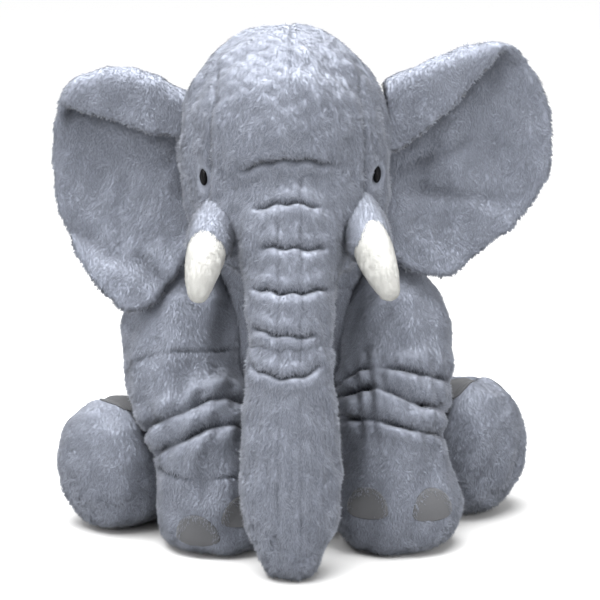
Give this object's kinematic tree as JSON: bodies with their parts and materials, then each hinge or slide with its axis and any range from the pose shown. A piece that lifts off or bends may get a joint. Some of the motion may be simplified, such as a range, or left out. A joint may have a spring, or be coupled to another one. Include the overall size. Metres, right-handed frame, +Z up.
{
  "type": "stuffed elephant",
  "caption": "Large seated plush elephant with a hanging trunk, cream tusks, big ears, felt toenails and jointed soft limbs",
  "frame": {"origin": "middle of the base on the floor", "axes": "+X is on the right of someone who looks at the face, -Y is the way the face looks, +Z is up"},
  "size_m": [0.5624, 0.4744, 0.5836],
  "materials": {
    "plush": "short soft plush pile, slightly clumped, grey blue",
    "tusk_plush": "shorn cream plush",
    "toenail_felt": "flat grey felt",
    "filling": "white polyester fibre",
    "eye_plastic": "polished black",
    "washer_plastic": "moulded white"
  },
  "bodies": {
    "torso": {"torso_stuffing": "filling", "torso_belly_panel": "plush", "torso_left_panel": "plush", "torso_right_panel": "plush", "torso_base_panel": "plush"},
    "neck": {"neck_stuffing": "filling"},
    "head": {"head_stuffing": "filling", "head_gusset": "plush", "head_left_panel": "plush", "head_right_panel": "plush", "chin_pad": "plush", "eye_left": "eye_plastic", "eye_washer_left": "washer_plastic", "eye_right": "eye_plastic", "eye_washer_right": "washer_plastic", "tusk_left_stuffing": "filling", "tusk_left_cover": "tusk_plush", "tusk_socket_left": "plush", "tusk_right_stuffing": "filling", "tusk_right_cover": "tusk_plush", "tusk_socket_right": "plush"},
    "trunk_upper": {"trunk_upper_stuffing": "filling", "trunk_upper_front_panel": "plush", "trunk_upper_rear_panel": "plush"},
    "trunk_lower": {"trunk_lower_stuffing": "filling", "trunk_lower_front_panel": "plush", "trunk_lower_rear_panel": "plush"},
    "ear_left": {"ear_left_wadding": "filling", "ear_left_front_panel": "plush", "ear_left_back_panel": "plush"},
    "ear_right": {"ear_right_wadding": "filling", "ear_right_front_panel": "plush", "ear_right_back_panel": "plush"},
    "tail": {"tail": "plush", "tail_tuft": "plush"},
    "leg_front_left": {"leg_front_left_stuffing": "filling", "leg_front_left_left_panel": "plush", "leg_front_left_right_panel": "plush", "leg_front_left_sole": "plush", "toenail_front_left_1": "toenail_felt", "toenail_front_left_2": "toenail_felt"},
    "leg_front_right": {"leg_front_right_stuffing": "filling", "leg_front_right_left_panel": "plush", "leg_front_right_right_panel": "plush", "leg_front_right_sole": "plush", "toenail_front_right_1": "toenail_felt", "toenail_front_right_2": "toenail_felt"},
    "leg_hind_left": {"leg_hind_left_stuffing": "filling", "leg_hind_left_upper_panel": "plush", "leg_hind_left_lower_panel": "plush", "leg_hind_left_sole": "plush", "toenail_hind_left_1": "toenail_felt", "toenail_hind_left_2": "toenail_felt"},
    "leg_hind_right": {"leg_hind_right_stuffing": "filling", "leg_hind_right_upper_panel": "plush", "leg_hind_right_lower_panel": "plush", "leg_hind_right_sole": "plush", "toenail_hind_right_1": "toenail_felt", "toenail_hind_right_2": "toenail_felt"}
  },
  "joints": [
    {"name": "head_turn", "type": "hinge", "parent": "torso", "child": "neck", "pos_m": [-0.00907, 0.02919, 0.316], "axis": [0, 0, 1], "range_deg": [-10, 10], "stiffness_Nm_per_rad": 12},
    {"name": "head_nod", "type": "hinge", "parent": "neck", "child": "head", "pos_m": [-0.00907, 0.02919, 0.316], "axis": [-1, 0, 0], "range_deg": [0, 12], "stiffness_Nm_per_rad": 30},
    {"name": "trunk_lift", "type": "hinge", "parent": "head", "child": "trunk_upper", "pos_m": [-0.00907, -0.10681, 0.357], "axis": [-1, 0, 0], "range_deg": [0, 28], "stiffness_Nm_per_rad": 8},
    {"name": "trunk_curl", "type": "hinge", "parent": "trunk_upper", "child": "trunk_lower", "pos_m": [-0.00907, -0.17181, 0.22], "axis": [-1, 0, 0], "range_deg": [0, 34], "stiffness_Nm_per_rad": 4},
    {"name": "ear_left_flap", "type": "hinge", "parent": "head", "child": "ear_left", "pos_m": [-0.13507, 0.00319, 0.41], "axis": [0, 0, 1], "range_deg": [-6, 30], "stiffness_Nm_per_rad": 1.5},
    {"name": "ear_right_flap", "type": "hinge", "parent": "head", "child": "ear_right", "pos_m": [0.11693, 0.00319, 0.41], "axis": [0, 0, -1], "range_deg": [-6, 30], "stiffness_Nm_per_rad": 1.5},
    {"name": "front_left_swing", "type": "hinge", "parent": "torso", "child": "leg_front_left", "pos_m": [-0.12907, 0.01619, 0.224], "axis": [-0.8211, 0.5708, 0], "range_deg": [0, 24], "stiffness_Nm_per_rad": 12},
    {"name": "front_right_swing", "type": "hinge", "parent": "torso", "child": "leg_front_right", "pos_m": [0.10893, 0.01619, 0.224], "axis": [-0.8211, -0.5708, 0], "range_deg": [0, 24], "stiffness_Nm_per_rad": 12},
    {"name": "hind_left_splay", "type": "hinge", "parent": "torso", "child": "leg_hind_left", "pos_m": [-0.09707, 0.10519, 0.072], "axis": [0, 0, -1], "range_deg": [0, 25], "stiffness_Nm_per_rad": 8},
    {"name": "hind_right_splay", "type": "hinge", "parent": "torso", "child": "leg_hind_right", "pos_m": [0.07893, 0.10919, 0.072], "axis": [0, 0, 1], "range_deg": [0, 20], "stiffness_Nm_per_rad": 8},
    {"name": "tail_wag", "type": "hinge", "parent": "torso", "child": "tail", "pos_m": [-0.00907, 0.20419, 0.118], "axis": [0, 0, 1], "range_deg": [-25, 25], "stiffness_Nm_per_rad": 0.3}
  ]
}
